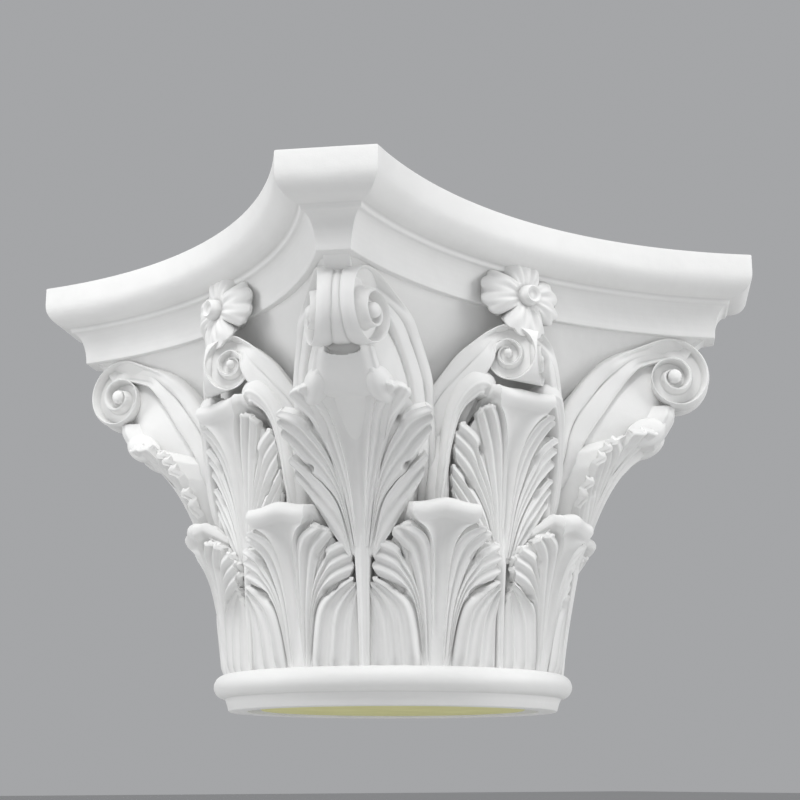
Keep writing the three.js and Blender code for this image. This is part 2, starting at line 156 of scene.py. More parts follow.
FACE_LEAF = {
    "front": [[122, UPPER_LEAF_ROOT], [126, 130], [130, 176], [149, 193]],
    "side": [[118, UPPER_LEAF_ROOT], [121, 130], [127, 165], [136, 189]],
    "keel": [[104, UPPER_LEAF_ROOT], [104, 120], [104, 150], [108, 182]],
    "length": 108,
    "half_width": 44,
    "tip_half_width": 25,
    "channel_root": 2,
    "channel_flare": 4,
    "channel_depth": 7,
    "corner_lift": 0.5,
    "lip": 12,
    "lip_bead": 3.5,
    "knobs": 0,
    "reach": 1.08,
    "dip": 0.085,
    "blade": [[0, 5], [0.08, 14], [0.2, 26], [0.35, 33], [0.5, 36], [0.7, 36], [0.88, 30], [1, 20]],
    "eyes": [[22.3, 0.635], [28, 0.43]],
    "lobes": [
        {"top": [[1.5, 0.03], [3, 0.35], [7.3, 0.62], [15, 0.84], [23, 1]],
         "bottom": [[4, 0.03], [9, 0.3], [15, 0.48], [21, 0.65], [26, 0.77], [32, 0.92]],
         "fingers": 2, "bulge": 3, "root_relief": 0.15, "crest": 0},
        {"top": [[4.5, 0.03], [9.5, 0.3], [16, 0.47], [23.5, 0.62], [27.5, 0.745], [39, 0.88]],
         "bottom": [[5.5, 0.03], [11.5, 0.2], [19, 0.33], [27, 0.44], [40, 0.6]],
         "fingers": 3, "bulge": 5, "root_relief": 0.15, "crest": 1},
        {"top": [[6.5, 0.01], [12.2, 0.18], [19.5, 0.318], [28, 0.425], [41, 0.575]],
         "bottom": [[7, 0], [12, 0.04], [19, 0.1], [27, 0.18], [37, 0.32]],
         "fingers": 3, "bulge": 4, "root_relief": 0.15, "crest": 1},
    ],
}
# Grid sizes of the leaves
SAMPLES_PER_FINGER = 10
CHANNEL_SAMPLES = 33
FLANK_SAMPLES = 4
LEAF_ROWS = 44
LOBE_ROWS = 36
BLADE_ROWS = 64
BLADE_SAMPLES = 61
ROLL_ROWS = 7

# Relief that all leaves share. A ripple is [centre, width] or [centre, width, size].
FLANK_WIDTH = 2.5
RIM_HEIGHT = 2.6
LIP_BEAD_RIPPLE = [1, 0.075]
KNOB_RIPPLE = [0.8, 0.2]
LOBE_RELIEF = 3.7
LOBE_STEP = 0.7
LOBE_CREST = 0.5
LOBE_CREST_RIPPLE = [0, 0.2]
LOBE_TEETH = 3.4
TOOTH_PEAK = 0.4
TOOTH_MEAN = 0.6
LOBE_SHELL = 6
BLADE_REACH = 0.985
BLADE_DROP = 2.4
BLADE_CROWN = 1.2
BLADE_SINK = 3
EDGE_ROLL = 1.3
TIP_CURL = 2
MARGIN_PULL = 0.95

# Drilled eyes: the way of the groove as [to the side, along the leaf], and how far it stretches
# towards the tip and towards the foot
EYE_DEPTH = 7
EYE_SIZE = 1.7
EYE_WAY = [0.57, 0.82]
EYE_STRETCH = [3, 1.2]

# Stout stems that carry the scroll bands: [radius, half width, height]
CAULIS_LEVELS = [[117, 4, 84], [124, 6.5, 110], [128, 7.5, 135], [129.5, 6.5, 160], [127, 4.5, 182],
                 [120, 3, 196]]
CAULIS_BACK_RADIUS = 104
CAULIS_CORNER = 6

# Stems of the upper leaves between the lower leaves: half widths at the foot and the top, and
# how sharp the crest is
CORNER_STEM = {"foot": 3.5, "top": 5, "crest": 0.7}
FACE_STEM = {"foot": 2, "top": 4.5, "crest": 1.3}
STEM_BACK_RADIUS = 104
STEM_FOOT_RADIUS = 118
STEM_PROUD = 1.5
STEM_OVERRUN = 0.4
STEM_FOLLOW = 0.45
STEM_SINK = 9
STEM_FLUTES = 5
STEM_FLUTE_DEPTH = 0.5
STEM_ROWS = 18
STEM_SAMPLES = 17

# Scrolls: two mirrored plates behind a narrow front. radii is the spiral's reach at each quarter
# turn. outer and inner are the edges of the band that rises into it, each point given as
# [degrees from the scroll's own direction, radius, height].
CORNER_SCROLL = {
    "front": 233,
    "front_half_width": 9.5,
    "splay": math.radians(11),
    "bow": 0.003,
    "centre": [28.8, 232],
    "radii": [28.5, 24.3, 20.5, 16.8, 12.6, 10.8, 9.6, 6.8, 3, 0],
    "outer": [[8.2, 186, 253.5], [12.4, 165, 242.2], [14.6, 152, 231.9], [17.2, 142, 218.2],
              [19, 136, 207.2], [19.6, 131, 192], [20.5, 127, 165], [21.5, 110, 125]],
    "inner": [[6.7, 186, 239.5], [7.9, 178, 233.5], [10.2, 167.5, 218.7], [12.4, 158, 203],
              [13.5, 149, 189.5], [14.5, 143, 178], [16, 136, 160], [17, 110, 125]],
    "depth": 12,
    "channel_depth": 8,
    "recess": -3.5,
    "eye": 5,
    "beads": [3.8, 2.6],
    "flutes": 1.1,
}
FACE_SCROLL = {
    "front": 158.5,
    "front_half_width": 0.8,
    "splay": math.radians(50),
    "bow": 0,
    "centre": [17.4, 227.5],
    "radii": [19.5, 18.6, 18.6, 13, 8.7, 8.2, 8.2, 6, 3.4, 0],
    "outer": [[10.5, 146, 241.5], [14.3, 143, 234.3], [18.6, 139, 224.8], [22, 136, 214],
              [25.4, 133, 202.8], [28.4, 130.5, 193], [30, 126, 178], [31, 110, 150]],
    "inner": [[8.9, 148, 231], [9.4, 147, 222], [11.5, 144.5, 212], [15.5, 140, 202],
              [19.5, 135, 190], [22, 130, 176], [24, 124, 162], [26, 110, 140]],
    "depth": 9,
    "channel_depth": 5,
    "recess": -1,
    "eye": 3,
    "beads": [1.6, 1.6],
    "flutes": 0,
}
STEPS_PER_TURN = 56
BAND_STEPS = 32
PLATE_SAMPLES = 29
WALL_SAMPLES = 15
BAND_JOIN_STEPS = 7
RIM = [0.03, 0.24]
LEDGE_WIDTH = 0.14
LEDGE_HEIGHT = 0.9
BAND_SPLIT = [0.5, 0.4]
BAND_FADE_STEPS = BAND_STEPS * 0.3
LEAD_STEPS = 8

# Groove and swell round the front of a corner scroll, from step to step
FLUTE_START = [-4, 6]
FLUTE_END = [STEPS_PER_TURN * 0.62, STEPS_PER_TURN * 0.8]
FLUTE_PLACE = [0.16, 0.3]
FLUTE_WIDTH = 0.06
FLUTE_SWELL = 0.9

# Round button at the middle of a scroll: [share of its size, rise]
SCROLL_BUTTON = [[1, 0], [1, 4], [0.96, 5.6], [0.8, 7], [0.5, 8], [0.2, 8.3]]
SCROLL_BUTTON_LIFT = 0.45

# Sheath leaves beside each face leaf: [degrees from the middle of the face, radius, height]
SHEATH_PATH = [[22.8, 118, 112], [22.6, 127, 130], [22, 132, 148], [21.3, 135, 165],
               [19.7, 138.5, 185.5], [17.2, 142, 198], [14, 144.5, 205], [10.8, 143.5, 205.5],
               [8.5, 140, 199]]
SHEATH_HALF_WIDTH = [3.4, 8]
SHEATH_DEPTH = 11
SHEATH_SCALLOPS = 7
SHEATH_SCALLOP_DEPTH = 0.1
SHEATH_RISE = 2
SHEATH_CROWN = 3.6
SHEATH_RIB_RIPPLE = [-0.1, 0.16, 0.9]
SHEATH_RIM_RIPPLE = [-0.9, 0.14, 1.5]
SHEATH_ROWS = 80
SHEATH_SAMPLES = 25

# Core of a horn, which fills the corner behind its scroll: [reach, half width, height]
CORE_INNER_RADIUS = 95
CORE_LEVELS = [[122, 20, 125], [158, 32, 165], [184, 33, 190], [194, 32, 203], [199, 28, 219],
               [202, 22, 234], [206, 18, 246], [212, 14, 262]]
CORE_TAPER = 45
SECTION_SAMPLES = 25
LOFT_ROWS = 24
# Block between a corner scroll and the slab: [reach, half width, height]
BLOCK_LEVELS = [[214, 8.2, 246], [219, 8.2, 254], [231, 8.2, 264]]
BLOCK_CORNER = 0.8
BLOCK_SQUARENESS = 0.12
# Pad under a corner scroll: [radius, half width, height], with a dark slot at its top
PAD_LEVELS = [[189, 24, 185], [194, 23, 190], [198.5, 22, 195.5], [202, 21, 201], [204, 20, 205],
              [205, 18.5, 211]]
PAD_BACK_RADIUS = 172
PAD_SLOT = {"height": 205.2, "half_width": 0.5, "depth": 20, "floor_rise": 14, "blend": 0.9}
PAD_EDGE_RIPPLE = [0.93, 0.05, 1.3]
PAD_HOLLOW_RIPPLE = [0.78, 0.12, 0.8]
PAD_CROWN = 9
PAD_ROWS = 44
PAD_SAMPLES = 61
# Knob at a corner of a leaf's lip
KNOB = {"side": 20.5, "share": 0.945, "size": [9.5, 14, 10], "sink": 4}
KNOB_POLE = 0.97
KNOB_RINGS = 15
KNOB_SIDES = 28

FLOWER_HEIGHT = 267.5
FLOWER_RADIUS = 152.5
FLOWER_BACK_RADIUS = 124
PETALS = 4
PETAL_LENGTH = 34.5
PETAL_GAP = 0.6
PETAL_CUP = 2.4
PETAL_LOW = 0.85
PETAL_HANG = 9
PETAL_FALL = 7
PETAL_ROWS = 18
PETAL_RIDGE = 0.9
PETAL_TIP_RIPPLE = [0, 0.14, 0.07]
PETAL_WAIST_RIPPLE = [0.5, 0.1, 0.06]
PETAL_CLEFT_RIPPLE = [1, 0.16, -5]
PETAL_NOTCH_RIPPLE = [0, 0.12, -2.4]
# Back of a flower: [drop, share of the outline, roundness]
PETAL_BACK = [[1.4, 1.0, 0], [3.6, 0.94, 0], [6.5, 0.6, 0.5], [9, 0, 1]]
# Button of a flower: [radius, rise]
BUTTON = [[0.6, 4.2], [2.4, 4], [3.6, 4.5], [4.6, 5.8], [5.8, 6.3], [6.8, 5.2], [7.4, 2.5], [7.8, -1]]
BUTTON_RADIUS = 7.6
STALK_RADIUS = 11
FLOWER_SIDES = 144
FOAM_SIDES = 128
FOAM_ROWS = 24


def lerp(a, b, share):
    return a + (b - a) * share


def smooth(value, low, high):
    share = np.clip((value - low) / (high - low), 0, 1)
    return share * share * (3 - 2 * share)


def ripple(place, centre, width, size=1):
    """A smooth ridge of a given size that fades on both sides of its centre."""
    return size * np.exp(-((place - centre) / width)**2)


def unit(way):
    return way / np.maximum(np.linalg.norm(way, axis=-1, keepdims=True), 1e-9)


def around(radius, angle, height):
    """Points at a radius, an angle from +X and a height."""
    radius, angle, height = np.broadcast_arrays(radius, angle, height)
    return np.stack([radius * np.cos(angle), radius * np.sin(angle), height], axis=-1)


def beside(out, side, angle, height):
    """Points by their distance out along an angle, their distance to the side and their height."""
    out, side, height = np.broadcast_arrays(out, side, height)
    cos, sin = math.cos(angle), math.sin(angle)
    return np.stack([out * cos - side * sin, out * sin + side * cos, height], axis=-1)


def bezier(control, t):
    """Points and directions of travel on a cubic Bezier curve."""
    p = np.array(control, float)
    t = np.asarray(t, float)[..., None]
    u = 1 - t
    point = u**3 * p[0] + 3 * u * u * t * p[1] + 3 * u * t * t * p[2] + t**3 * p[3]
    tangent = 3 * (u * u * (p[1] - p[0]) + 2 * u * t * (p[2] - p[1]) + t * t * (p[3] - p[2]))
    return point, unit(tangent)


def through(path, share):
    """A smooth curve through every point of a path."""
    path = np.array(path, float)
    place = np.clip(share, 0, 1) * (len(path) - 1)
    i = np.minimum(place.astype(int), len(path) - 2)
    t = (place - i)[..., None]
    before, start, end, after = (path[np.clip(i + k, 0, len(path) - 1)] for k in (-1, 0, 1, 2))
    return 0.5 * (2 * start + (end - before) * t + (2 * before - 5 * start + 4 * end - after) * t**2
                  + (3 * start - before - 3 * end + after) * t**3)


class Piece:
    """Gathers grids of points into one mesh object."""

    def __init__(self, name):
        self.name = name
        self.points = []
        self.faces = []
        self.count = 0

    def place(self, points):
        flat = np.asarray(points, float).reshape(-1, 3)
        first = self.count
        self.points.append(flat)
        self.count += len(flat)
        return np.arange(first, self.count).reshape(np.asarray(points).shape[:-1])

    def quads(self, index):
        corners = [index[:-1, :-1], index[:-1, 1:], index[1:, 1:], index[1:, :-1]]
        self.faces += np.stack(corners, axis=-1).reshape(-1, 4).tolist()

    def fan(self, loop, hub):
        centre = int(self.place(np.array([hub]))[0])
        self.faces += [[centre, int(a), int(b)] for a, b in zip(loop, np.roll(loop, -1))]

    def sheet(self, grid):
        """A grid whose border is closed by a fan to the border's middle."""
        index = self.place(grid)
        self.quads(index)
        loop = np.concatenate([index[0, :-1], index[:-1, -1], index[-1, :0:-1], index[:0:-1, 0]])
        border = np.asarray(grid).reshape(-1, 3)[loop - index[0, 0]]
        self.fan(loop, border.mean(axis=0))

    def tube(self, rings):
        """Closed rings of points, capped at both ends."""
        index = self.place(rings)
        self.quads(np.concatenate([index, index[:, :1]], axis=1))
        self.fan(index[0][::-1], rings[0].mean(axis=0))
        self.fan(index[-1], rings[-1].mean(axis=0))

    def finish(self, material, slot, sharp=50):
        mesh = bpy.data.meshes.new(self.name)
        mesh.from_pydata((np.concatenate(self.points) * MM).tolist(), [], self.faces)
        work = bmesh.new()
        work.from_mesh(mesh)
        bmesh.ops.remove_doubles(work, verts=work.verts, dist=1e-6)
        bmesh.ops.recalc_face_normals(work, faces=work.faces)
        work.to_mesh(mesh)
        work.free()
        mesh.polygons.foreach_set("use_smooth", [True] * len(mesh.polygons))
        mesh.set_sharp_from_angle(angle=math.radians(sharp))
        mesh.materials.append(material)
        piece = bpy.data.objects.new(self.name, mesh)
        bpy.context.scene.collection.objects.link(piece)
        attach(piece, "root")
        return piece


def slab_outline(inset):
    """A hollow arc on each face and a short flat on each horn, with softened corners."""
    arc_centre = FACE_HALF_WIDTH_AT_MIDDLE + FACE_ARC_RADIUS
    radius = FACE_ARC_RADIUS + inset
    gap = arc_centre - math.sqrt(2) * (CHAMFER_DISTANCE - inset)
    reach = (math.sqrt(2 * radius**2 - gap**2) - gap) / 2
    half_angle = math.asin(reach / radius)
    soft = EDGE_SOFTENING / radius
    swing = np.linspace(-half_angle + soft, half_angle - soft, SLAB_ARC_STEPS + 1)
    arc = np.stack([arc_centre - radius * np.cos(swing), radius * np.sin(swing)], axis=-1)
    corner = np.array([arc_centre - radius * math.cos(half_angle), reach])
    along = np.array([-1, 1]) / math.sqrt(2)
    after = corner + EDGE_SOFTENING * along
    mirror = np.array([1, -1])
    half = [(arc[-1] + after + 6 * corner) / 8, after]
    face = np.concatenate([[half[1] * mirror, half[0] * mirror], arc, half])
    return np.concatenate([beside(face[:, 0], face[:, 1], k * QUARTER, 0) for k in range(4)])


def at_height(outline, height):
    ring = outline.copy()
    ring[:, 2] = height
    return ring


def soften(profile, size):
    """Rounds the corners of a profile that are marked by standing between two long stretches."""
    result = [profile[0]]
    for before, corner, after in zip(profile, profile[1:], profile[2:]):
        before, corner, after = (np.array(p, float) for p in (before, corner, after))
        back, ahead = before - corner, after - corner
        reach_back = min(size, 0.4 * np.linalg.norm(back))
        reach_ahead = min(size, 0.4 * np.linalg.norm(ahead))
        start = corner + back / np.linalg.norm(back) * reach_back
        end = corner + ahead / np.linalg.norm(ahead) * reach_ahead
        for t in (0, 0.33, 0.67, 1):
            result.append((1 - t)**2 * start + 2 * t * (1 - t) * corner + t * t * end)
    result.append(profile[-1])
    return result


def add_slab(piece):
    swing = np.linspace(0, QUARTER, 9)
    ovolo = [[OVOLO_INSET * (1 - math.cos(s)),
              FASCIA_BOTTOM - (FASCIA_BOTTOM - OVOLO_BOTTOM) * math.sin(s)] for s in swing]
    cavetto = [[lerp(CAVETTO_TOP_INSET, CAVETTO_BOTTOM_INSET, math.sin(s)),
                lerp(STEP_BOTTOM, SLAB_UNDERSIDE, 1 - math.cos(s))] for s in swing]
    profile = [[PANEL_INSET, HEIGHT], [0, HEIGHT], *ovolo, *cavetto,
               [CAVETTO_BOTTOM_INSET + 6, SLAB_UNDERSIDE]]
    rings = [at_height(slab_outline(inset), height)
             for inset, height in soften(profile, EDGE_SOFTENING)]
    piece.tube(np.array(rings))


def bell_radius(angle, height):
    """Radius of the bell, which flares from a round drum into the plan of the slab."""
    plan = slab_outline(PANEL_INSET)
    turn = np.unwrap(np.arctan2(plan[:, 1], plan[:, 0]))
    order = np.argsort(turn)
    size = np.hypot(plan[:, 0], plan[:, 1])[order]
    turn = turn[order]
    reach = np.interp(np.mod(angle - turn[0], TURN) + turn[0], np.append(turn, turn[0] + TURN),
                      np.append(size, size[0]))
    share = np.clip((height - BELL_FLARE_START) / (BELL_TOP - BELL_FLARE_START), 0, 1)
    return lerp(BELL_RADIUS, reach, share**BELL_FLARE_POWER)


def add_bell(piece):
    angle = np.linspace(0, TURN, BELL_SIDES, endpoint=False)
    drum = np.linspace(LOWER_LEAF_ROOT, BELL_FLARE_START, BELL_DRUM_ROWS, endpoint=False)
    heights = np.concatenate([drum, np.linspace(BELL_FLARE_START, BELL_TOP, BELL_FLARE_ROWS)])
    rings = [around(bell_radius(angle, height), angle, height) for height in heights]
    piece.tube(np.array(rings))


def ring_profile():
    centre = (RING_BOTTOM + RING_TOP) / 2
    half = (RING_TOP - RING_BOTTOM) / 2
    torus = [[COVE_RADIUS + (RING_RADIUS - COVE_RADIUS) * math.cos(s), centre + half * math.sin(s)]
             for s in np.linspace(-QUARTER, QUARTER, 17)]
    profile = [[0.5, GROOVE_DEPTH], [GROOVE_INNER_RADIUS - 4, GROOVE_DEPTH],
               [GROOVE_OUTER_RADIUS, GROOVE_DEPTH], [GROOVE_OUTER_RADIUS, 0], [SEAT_RADIUS, 0],
               [SEAT_RADIUS + 1.5, RING_BOTTOM - 3.5], *torus, [BELL_RADIUS - 6, RING_TOP]]
    return soften(profile, RING_SOFTENING)


def add_ring(piece):
    angle = np.linspace(0, TURN, RING_SIDES, endpoint=False)
    piece.tube(np.array([around(radius, angle, height) for radius, height in ring_profile()]))


def on_leaf(kind, angle, side, share, rise, beyond):
    """Carries flat leaf points onto the leaf's curved form."""
    away = (np.minimum(np.abs(side) / kind["half_width"], 1)**1.5)[..., None]
    inside = np.clip(share, 0, 1)
    beyond = beyond + (share - inside) * kind["length"]
    middle, middle_way = bezier(kind["front"], inside)
    edge, edge_way = bezier(kind["side"], inside)
    point = lerp(middle, edge, away)
    way = unit(lerp(middle_way, edge_way, away))
    radius = point[..., 0] + beyond * way[..., 0] + rise * way[..., 1]
    height = point[..., 1] + beyond * way[..., 1] - rise * way[..., 0]
    return around(radius, angle + side / point[..., 0], height)


def add_leaf_sheet(piece, kind, angle, side, share, rise, roll, shell=None):
    """A piece of leaf from its flat points: rolls its tip over and walls it back to the keel, or
    to the shell's thickness."""
    tip = [np.repeat(x[-1:], ROLL_ROWS, 0) for x in (side, share, rise)]
    swing = (np.linspace(0, math.pi, ROLL_ROWS + 1)[1:])[:, None]
    front = on_leaf(kind, angle, side, share, rise, np.zeros_like(side))
    rolled = on_leaf(kind, angle, tip[0], tip[1], tip[2] - roll * (1 - np.cos(swing)),
                     roll * np.sin(swing))

    def keel(side, share):
        point, _ = bezier(kind["keel"], np.clip(share, 0, 1))
        return around(point[..., 0], angle + MARGIN_PULL * side / point[..., 0], point[..., 1])

    rows = np.concatenate([[0], np.arange(len(side)), np.full(ROLL_ROWS + 1, -1)])
    if shell is None:
        inner = keel(side[rows], share[rows])
    else:
        inner = on_leaf(kind, angle, side[rows], share[rows], rise[rows] - shell, 0 * side[rows])
    grid = np.concatenate([inner[:1], front, rolled, inner[-1:]])
    piece.sheet(np.concatenate([inner[:, :1], grid, inner[:, -1:]], axis=1))


def add_trumpet(piece, kind, angle):
    """The hollow middle of a leaf between its two rims, with the thick rolled lip."""
    travel = (np.linspace(0, 1, LEAF_ROWS + 1)**0.8)[:, None]
    across = np.linspace(-1, 1, CHANNEL_SAMPLES)
    flank = (np.arange(FLANK_SAMPLES) + 1) / FLANK_SAMPLES
    across = np.concatenate([-1 - flank[::-1], across, 1 + flank])[None, :]
    inside = np.clip(np.abs(across), 0, 1)
    outside = np.abs(across) - inside
    mouth = mouth_width(kind, travel)
    side = np.sign(across) * (inside * mouth + FLANK_WIDTH * outside)
    brow = RIM_HEIGHT * smooth(travel, 0, 0.3)
    hollow = brow + kind["channel_depth"] * travel**1.5
    rise = brow - hollow * (1 - inside**2.2) - (brow + 2) * smooth(outside, 0, 1)
    rise = rise - kind["corner_lift"] * inside**2 * travel**6
    bead = ripple(travel, *LIP_BEAD_RIPPLE) * (1 - 0.6 * inside**4)
    rise = rise + kind["lip_bead"] * bead * (1 - 0.6 * outside)
    knob = kind["knobs"] * ripple(inside, *KNOB_RIPPLE)
    roll = kind["lip"] / 2 * (1 - 0.12 * inside**4) * (1 + 0.6 * knob) * (1 - 0.35 * outside)
    roll = roll * (1 - 0.5 * kind["knobs"] * (1 - inside**2))
    share = travel * (kind["reach"] - kind["dip"] * (1 - inside**2))
    add_leaf_sheet(piece, kind, angle, side, share, rise, roll)


def add_lobe(piece, kind, lobe, angle, sign):
    """A feathered lobe: fingers that fan out between its two edges to a scalloped tip."""
    fingers = lobe["fingers"]
    travel = np.linspace(0, 1, LOBE_ROWS)**0.9
    across = np.linspace(0, 1, fingers * SAMPLES_PER_FINGER + 1)
    top = through(lobe["top"], travel)
    bottom = through(lobe["bottom"], travel)
    flat = lerp(top[:, None], bottom[:, None], across[None, :, None])
    travel, across = travel[:, None], across[None, :]
    cushion = np.sin(math.pi * across * fingers)**2
    scale = np.array([1, kind["length"]])
    way = unit((flat * scale)[-1] - (flat * scale)[-7]) / scale
    finger = (across * fingers) % 1
    tooth = np.where(finger < TOOTH_PEAK, finger / TOOTH_PEAK, (1 - finger) / (1 - TOOTH_PEAK))**0.8
    stretch = lobe["bulge"] * 4 * across * (1 - across) + LOBE_TEETH * (tooth - TOOTH_MEAN)
    flat = flat + way[None] * (stretch * travel**3)[..., None]
    grown = lerp(lobe["root_relief"], 1, travel**1.2) * smooth(travel, 0, 0.12)
    rise = LOBE_RELIEF * cushion * grown
    rise = rise + LOBE_STEP * (0.25 + 0.35 * lobe["crest"] - across) * grown
    crest = ripple(across * fingers, *LOBE_CREST_RIPPLE) * smooth(travel, 0.1, 0.5)
    rise = rise + lobe["crest"] * LOBE_CREST * crest
    rise = rise + TIP_CURL * travel**6 - eye_pits(kind, flat[..., 0], flat[..., 1])
    add_leaf_sheet(piece, kind, angle, sign * flat[..., 0], flat[..., 1], rise,
                   np.full(across.shape, EDGE_ROLL), LOBE_SHELL)


def eye_pits(kind, side, share):
    """Depth of the drilled eyes between lobes, each with a groove that tapers towards the tip."""
    depth = 0
    for eye_side, eye_share in kind["eyes"]:
        off = np.abs(side) - eye_side
        up = (share - eye_share) * kind["length"]
        along = EYE_WAY[0] * off + EYE_WAY[1] * up
        across = EYE_WAY[1] * off - EYE_WAY[0] * up
        spread = EYE_SIZE * np.where(along > 0, *EYE_STRETCH)
        depth = depth + EYE_DEPTH * np.exp(-(across / EYE_SIZE)**2 - (along / spread)**2)
    return depth


def mouth_width(kind, travel):
    """Half the width of a leaf's hollow middle."""
    throat = kind["channel_root"] * (1 + 0.8 * travel)
    mouth = lerp(throat, kind["tip_half_width"], travel**kind["channel_flare"])
    return mouth * (1 - 0.1 * smooth(travel, 0.93, 1))


def add_blade(piece, kind, angle):
    """The body of a leaf under its lobes, sunk under its hollow middle."""
    share = np.linspace(0, BLADE_REACH, BLADE_ROWS)[:, None]
    across = np.linspace(-1, 1, BLADE_SAMPLES)[None, :]
    at, half_width = np.array(kind["blade"], float).T
    side = across * np.interp(share, at, half_width)
    mouth = mouth_width(kind, share)
    under = 1 - smooth(np.abs(side), mouth - 1, mouth + 2)
    rise = -BLADE_DROP * smooth(share, 0, 0.12) - BLADE_CROWN * across**2
    rise = rise - (kind["channel_depth"] * share**1.5 + BLADE_SINK) * under
    rise = rise - eye_pits(kind, side, share)
    add_leaf_sheet(piece, kind, angle, side, share + 0 * across, rise,
                   np.full(across.shape, EDGE_ROLL))


def add_knob(piece, kind, angle, sign):
    """A rounded knob at the corner of a leaf's lip."""
    rings = []
    swing = np.linspace(0, TURN, KNOB_SIDES, endpoint=False)
    across, along, proud = KNOB["size"]
    for tilt in np.linspace(-QUARTER * KNOB_POLE, QUARTER * KNOB_POLE, KNOB_RINGS):
        side = sign * KNOB["side"] + across * math.cos(tilt) * np.cos(swing)
        share = KNOB["share"] + along * math.cos(tilt) * np.sin(swing) / kind["length"]
        rise = np.full_like(swing, proud * math.sin(tilt) - KNOB["sink"])
        rings.append(on_leaf(kind, angle, side, share, rise, np.zeros_like(swing)))
    piece.tube(np.array(rings))


def add_leaf(piece, kind, angle):
    add_trumpet(piece, kind, angle)
    add_blade(piece, kind, angle)
    if kind["knobs"]:
        add_knob(piece, kind, angle, 1)
        add_knob(piece, kind, angle, -1)
    for lobe in kind["lobes"]:
        add_lobe(piece, kind, lobe, angle, 1)
        add_lobe(piece, kind, lobe, angle, -1)


def add_stem(piece, kind, shape, angle):
    """A stem that rises between the lower leaves and sinks into the foot of its leaf."""
    radius, height = kind["front"][0]
    swing = np.linspace(-QUARTER, QUARTER, STEM_SAMPLES)
    rings = []
    for share in np.linspace(0, 1 + STEM_OVERRUN, STEM_ROWS):
        inside = min(share, 1)
        past = share - inside
        on_front, _ = bezier(kind["front"], np.array(STEM_FOLLOW * past))
        half_width = lerp(shape["foot"], shape["top"], inside**2) * (1 - 0.5 * past)
        out = lerp(STEM_FOOT_RADIUS, radius, inside**1.3) + STEM_PROUD
        out = out + (on_front[0] - radius) - STEM_SINK * past
        level = lerp(LOWER_LEAF_ROOT, height, inside) + on_front[1] - height
        front = out - shape["crest"] * half_width * (1 - np.cos(swing))
        front = front + STEM_FLUTE_DEPTH * np.cos(STEM_FLUTES * swing) * np.cos(swing)
        side = np.concatenate([half_width * np.sin(swing), [half_width, -half_width]])
        front = np.concatenate([front, [STEM_BACK_RADIUS, STEM_BACK_RADIUS]])
        rings.append(beside(front, side, angle, level))
    piece.tube(np.array(rings))


def last_step(kind):
    return (len(kind["radii"]) - 1) * STEPS_PER_TURN // 4


def on_spiral(kind, step):
    """Places on the scroll's spiral, on its plate: distance back from the front, and height."""
    radii = np.array(kind["radii"], float)[:, None]
    reach = np.clip(through(radii, step / last_step(kind))[:, 0], 0, None)
    swing = TURN * step / STEPS_PER_TURN
    return np.stack([kind["centre"][0] - reach * np.sin(swing),
                     kind["centre"][1] + reach * np.cos(swing)], axis=-1)


def on_plate(kind, flat):
    """Carries places on the plate to [out, to the side, height]."""
    back = flat[..., 0]
    out = kind["front"] - back * math.cos(kind["splay"])
    side = kind["front_half_width"] + back * math.sin(kind["splay"]) + kind["bow"] * back**2
    return np.stack([out, side, flat[..., 1]], axis=-1)


def band_edge(kind, first, path):
    """The edge of a band, which carries on from the spiral without a kink."""
    degrees, radius, height = np.array(path, float).T
    swing = np.radians(degrees)
    points = np.stack([radius * np.cos(swing), radius * np.sin(swing), height], axis=-1)
    lead = on_plate(kind, on_spiral(kind, np.array([first + LEAD_STEPS, first])))
    points = np.concatenate([lead, points])
    share = np.linspace(1, 1 / (len(points) - 1), BAND_STEPS + 1)[:-1]
    return through(points, share)


def groove_profile(kind, across, step):
    """Height of the plate between its edges: a hollow channel, and a round bead down the band."""
    last = last_step(kind)
    fade = np.clip((last - step) / STEPS_PER_TURN, 0, 1)
    hollow = smooth(across, *RIM) * smooth(1 - across, *RIM)
    turn = np.clip(step, 0, None) / STEPS_PER_TURN + across * (step >= 0)
    channel = -kind["channel_depth"] * hollow * fade - kind["recess"] * smooth(turn, 0, 1.2)
    edge = np.clip(np.minimum(across, 1 - across) / LEDGE_WIDTH, 0, 1)
    channel = channel + LEDGE_HEIGHT * fade * np.sin(math.pi * edge)**2
    split = lerp(*BAND_SPLIT, smooth(-step, 0, BAND_STEPS))
    bead = kind["beads"][0] * np.sqrt(np.clip(1 - (2 * across / split - 1)**2, 0, 1))
    strip = np.sqrt(np.clip(1 - (2 * (across - split) / (1 - split) - 1)**2, 0, 1))
    strip = kind["beads"][1] * strip
    band = np.where(across < split, bead, strip) * smooth(-step, 2, BAND_FADE_STEPS)
    return lerp(channel, band, smooth(-step, 0, BAND_FADE_STEPS))


def front_relief(kind, outer, step, from_back):
    """Offsets of the groove and the swell that run round the front of a scroll."""
    fluted = smooth(step, *FLUTE_START) * (1 - smooth(step, *FLUTE_END))
    groove_at = lerp(*FLUTE_PLACE, smooth(step, 0, STEPS_PER_TURN * 0.5))
    past_groove = np.clip((from_back - groove_at) / (1 - groove_at), 0, 1)
    form = FLUTE_SWELL * np.sin(math.pi * past_groove) - ripple(from_back, groove_at, FLUTE_WIDTH)
    outward = unit(np.cross(np.gradient(outer, axis=0), [0, 1, 0]))
    return outward[:, None] * (kind["flutes"] * fluted * form)[..., None]


